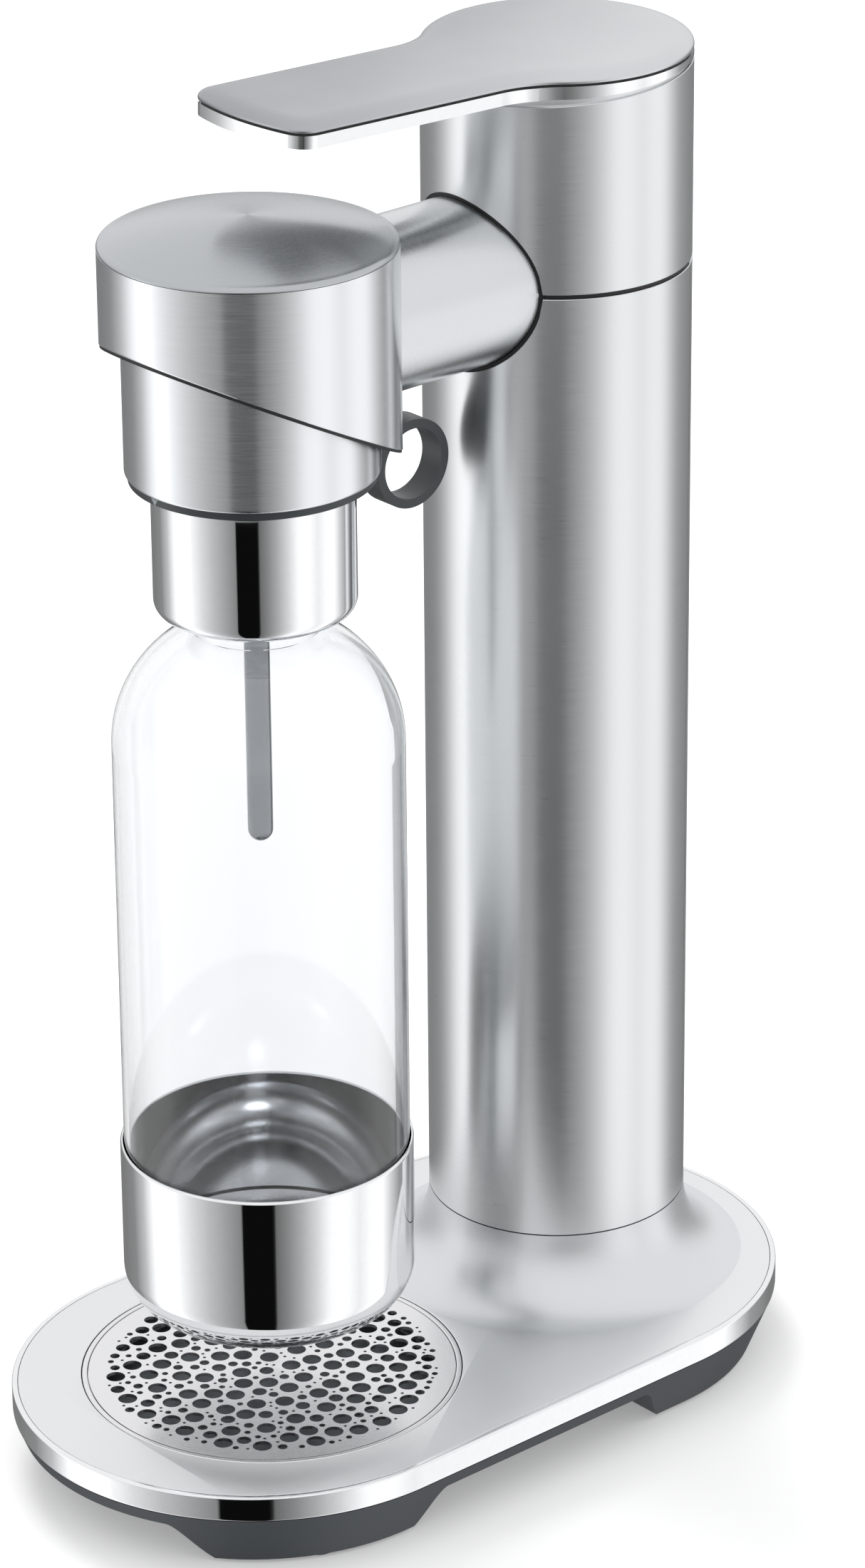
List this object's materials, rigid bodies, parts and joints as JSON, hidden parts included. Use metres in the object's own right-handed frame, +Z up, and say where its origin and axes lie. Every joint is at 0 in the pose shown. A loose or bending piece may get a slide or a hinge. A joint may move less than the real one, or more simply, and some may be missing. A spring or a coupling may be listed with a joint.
{
  "type": "sparkling water maker",
  "caption": "Counter-top sparkling water maker: steel column with press lever, gas cylinder, round head, drip tray and a bottle screwed to a lift-off cap.",
  "frame": {"origin": "middle of the base's outline, on the table", "axes": "+Z up, +Y from the bottle back to the column, +X to the right seen from the front"},
  "size_m": [0.151, 0.264, 0.427],
  "materials": {
    "brushed_column_steel": "stainless steel brushed round the column",
    "brushed_plate_steel": "stainless steel sheet brushed lengthwise",
    "brushed_head_steel": "stainless steel brushed round the head and arm",
    "tray_steel": "fine satin stainless steel",
    "polished_trim": "polished chrome",
    "satin_lever": "pearl satin chrome",
    "dark_plastic": "dark grey ABS, fine moulded grain",
    "inner_plastic": "glass-filled nylon",
    "seal_rubber": "black silicone rubber",
    "fastener_steel": "zinc-plated steel",
    "valve_brass": "turned brass",
    "cylinder_paint": "grey-blue enamel on aluminium",
    "clear_bottle": "clear PET, blow moulded"
  },
  "bodies": {
    "root": {"base_cover": "brushed_plate_steel", "base_band": "polished_trim", "base_housing": "dark_plastic", "base_floor": "inner_plastic", "base_screws": "fastener_steel", "rubber_feet": "seal_rubber", "column_shell": "brushed_column_steel", "column_sleeve": "brushed_column_steel", "column_gasket": "seal_rubber", "spine": "inner_plastic", "cylinder_seat": "inner_plastic", "regulator_block": "inner_plastic", "socket_washer": "seal_rubber", "top_deck": "inner_plastic", "deck_screws": "fastener_steel", "lever_pin": "fastener_steel", "arm_sleeve": "brushed_head_steel", "arm_core": "inner_plastic", "arm_gasket": "seal_rubber", "gas_tube": "fastener_steel", "head_shell": "brushed_head_steel", "head_dome": "brushed_head_steel", "receiver": "inner_plastic", "receiver_screws": "fastener_steel", "latch_ring": "dark_plastic", "nozzle": "valve_brass", "nozzle_oring": "seal_rubber"},
    "rear_cover": {"rear_cover": "brushed_column_steel"},
    "rear_latch": {"rear_latch": "dark_plastic"},
    "gas": {"gas_cylinder": "cylinder_paint", "cylinder_valve": "valve_brass"},
    "plunger": {"plunger": "fastener_steel", "plunger_spring": "fastener_steel", "valve_pin": "fastener_steel"},
    "lever": {"lever_cover": "satin_lever", "lever_body": "polished_trim", "lever_seam": "seal_rubber"},
    "tray": {"drip_tray": "tray_steel"},
    "grille": {"drip_grille": "tray_steel"},
    "cap": {"cap_shell": "brushed_head_steel", "cap_body": "dark_plastic", "cap_seal": "seal_rubber", "wand": "fastener_steel", "ring_pin": "fastener_steel", "relief_valve": "valve_brass"},
    "pull_ring": {"pull_ring": "dark_plastic"},
    "bottle": {"bottle": "clear_bottle", "bottle_collar": "polished_trim", "bottle_cup": "polished_trim"}
  },
  "joints": [
    {"name": "lever_press", "type": "hinge", "parent": "root", "child": "lever", "pos_m": [0, 0.093, 0.4122], "axis": [1, 0, 0], "range_deg": [0, 2], "stiffness_Nm_per_rad": 20, "springref_deg": -3.44},
    {"name": "plunger_travel", "type": "slide", "parent": "root", "child": "plunger", "axis": [0, 0, -1], "range_m": [0, 0.001], "deforming": ["plunger_spring"]},
    {"name": "rear_cover_off", "type": "slide", "parent": "root", "child": "rear_cover", "axis": [0, 1, 0], "range_m": [0, 0.04]},
    {"name": "rear_latch_press", "type": "slide", "parent": "rear_cover", "child": "rear_latch", "axis": [0, -1, 0], "range_m": [0, 0.0015], "stiffness_N_per_m": 1000, "springref_m": -0.002},
    {"name": "gas_turn", "type": "hinge", "parent": "root", "child": "gas", "pos_m": [0, 0.065, 0.2], "axis": [0, 0, 1], "continuous": true},
    {"name": "tray_lift", "type": "slide", "parent": "root", "child": "tray", "axis": [0, 0, 1], "range_m": [0, 0.008]},
    {"name": "grille_lift", "type": "slide", "parent": "tray", "child": "grille", "axis": [0, 0, 1], "range_m": [0, 0.004]},
    {"name": "cap_drop", "type": "slide", "parent": "root", "child": "cap", "axis": [0, 0, -1], "range_m": [0, 0.01]},
    {"name": "bottle_turn", "type": "hinge", "parent": "cap", "child": "bottle", "pos_m": [0, -0.052, 0.3], "axis": [0, 0, 1], "continuous": true},
    {"name": "ring_pull", "type": "hinge", "parent": "cap", "child": "pull_ring", "pos_m": [0, -0.0135, 0.314], "axis": [-1, 0, 0], "range_deg": [0, 25], "stiffness_Nm_per_rad": 0.05, "springref_deg": -11.46}
  ],
  "couplings": [
    {"joint": "plunger_travel", "follows": "lever_press", "m_per_rad": 0.028}
  ]
}
